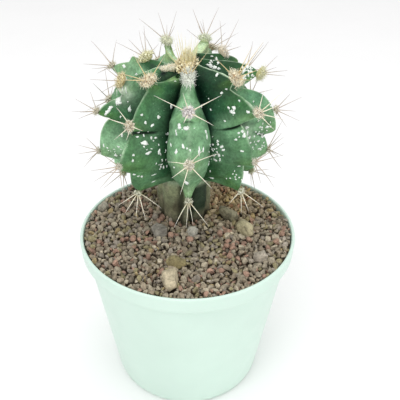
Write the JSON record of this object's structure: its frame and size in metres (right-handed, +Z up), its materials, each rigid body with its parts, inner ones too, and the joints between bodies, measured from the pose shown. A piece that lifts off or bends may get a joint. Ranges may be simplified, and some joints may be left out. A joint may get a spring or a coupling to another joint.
{
  "type": "potted round cactus",
  "caption": "Globular cactus with deep notched ribs, woolly areoles and straw spines, standing on its corky neck in a gravel-filled round plastic pot.",
  "frame": {"origin": "middle of the flat underside of the pot, on the surface it stands on", "axes": "+Z up along the pot's axis, -Y towards the front seen in the picture; the cactus stands 18 mm behind the pot's axis, towards +Y"},
  "size_m": [0.1058, 0.1222, 0.1786],
  "materials": {
    "pot_plastic": "satin",
    "gravel": "matte",
    "cream_stone": "matte",
    "ochre_stone": "matte",
    "olive_stone": "matte",
    "grey_stone": "matte",
    "pale_stone": "matte",
    "cactus_skin": "satin",
    "crown_wool": "matte",
    "wool_and_spines": "matte"
  },
  "bodies": {
    "root": {"pot": "pot_plastic", "gravel_bed": "gravel", "cactus_body": "cactus_skin", "crown_tuft": "crown_wool", "stone_cream_tall": "cream_stone", "stone_ochre": "ochre_stone", "stone_olive": "olive_stone", "stone_yellowish": "ochre_stone", "stone_dark_grey": "grey_stone", "stone_whitish": "pale_stone", "stone_pale_right": "cream_stone", "stone_pale_left": "pale_stone", "areole_rib1_level1": "wool_and_spines", "areole_rib1_level2": "wool_and_spines", "areole_rib1_level3": "wool_and_spines", "areole_rib1_level4": "wool_and_spines", "areole_rib2_level1": "wool_and_spines", "areole_rib2_level2": "wool_and_spines", "areole_rib2_level3": "wool_and_spines", "areole_rib2_level4": "wool_and_spines", "areole_rib3_level1": "wool_and_spines", "areole_rib3_level2": "wool_and_spines", "areole_rib3_level3": "wool_and_spines", "areole_rib3_level4": "wool_and_spines", "areole_rib4_level1": "wool_and_spines", "areole_rib4_level2": "wool_and_spines", "areole_rib4_level3": "wool_and_spines", "areole_rib4_level4": "wool_and_spines", "areole_rib5_level1": "wool_and_spines", "areole_rib5_level2": "wool_and_spines", "areole_rib5_level3": "wool_and_spines", "areole_rib5_level4": "wool_and_spines", "areole_rib6_level1": "wool_and_spines", "areole_rib6_level2": "wool_and_spines", "areole_rib6_level3": "wool_and_spines", "areole_rib6_level4": "wool_and_spines", "areole_rib7_level1": "wool_and_spines", "areole_rib7_level2": "wool_and_spines", "areole_rib7_level3": "wool_and_spines", "areole_rib7_level4": "wool_and_spines", "areole_rib8_level1": "wool_and_spines", "areole_rib8_level2": "wool_and_spines", "areole_rib8_level3": "wool_and_spines", "areole_rib8_level4": "wool_and_spines", "areole_rib9_level1": "wool_and_spines", "areole_rib9_level2": "wool_and_spines", "areole_rib9_level3": "wool_and_spines", "areole_rib9_level4": "wool_and_spines"}
  },
  "joints": []
}
